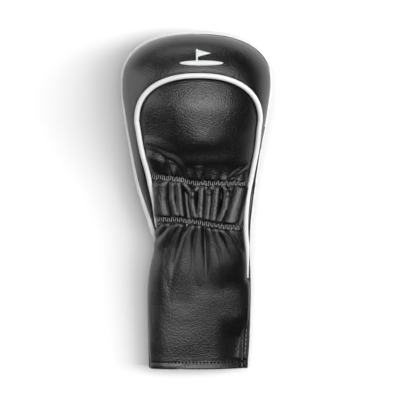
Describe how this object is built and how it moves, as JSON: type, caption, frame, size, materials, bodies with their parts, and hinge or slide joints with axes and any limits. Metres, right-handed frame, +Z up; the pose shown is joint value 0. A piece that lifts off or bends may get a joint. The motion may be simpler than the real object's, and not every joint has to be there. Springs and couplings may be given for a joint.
{
  "type": "driver head cover",
  "caption": "Padded synthetic-leather golf driver head cover with piped crown band, gathered elastic neck and open sleeve, lying on its back.",
  "frame": {"origin": "centre of the cover's footprint, on the surface that it lies on", "axes": "+Y along the cover to the closed crown end, -Y out of the open mouth, +X to the right seen from the front, +Z up out of the front panel"},
  "size_m": [0.1508, 0.3398, 0.0874],
  "materials": {
    "leather": "pebbled semi-gloss synthetic leather",
    "foam": "open-cell padding",
    "lining": "short plush pile",
    "elastic": "knitted elastic tape",
    "thread": "twisted polyester thread",
    "piping_wrap": "smooth satin synthetic leather",
    "piping_cord": "twisted cotton cord",
    "embroidery": "satin stitch with a soft sheen",
    "backing": "non-woven felt"
  },
  "bodies": {
    "root": {"back_panel": "leather", "band_seam_stitch": "thread", "crown_band": "leather", "elastic_back_lower": "elastic", "elastic_back_upper": "elastic", "elastic_front_lower": "elastic", "elastic_front_upper": "elastic", "emblem_backing": "backing", "emblem_embroidery": "embroidery", "foam_back": "foam", "foam_band": "foam", "foam_front": "foam", "front_panel": "leather", "hem_stitch": "thread", "inner_piping_cord": "piping_cord", "inner_piping_cover": "piping_wrap", "lining_back": "lining", "lining_front": "lining", "outer_piping_cord": "piping_cord", "outer_piping_cover": "piping_wrap", "side_seam_stitch": "thread", "zigzag_back_lower": "thread", "zigzag_back_upper": "thread", "zigzag_front_lower": "thread", "zigzag_front_upper": "thread"}
  },
  "joints": []
}
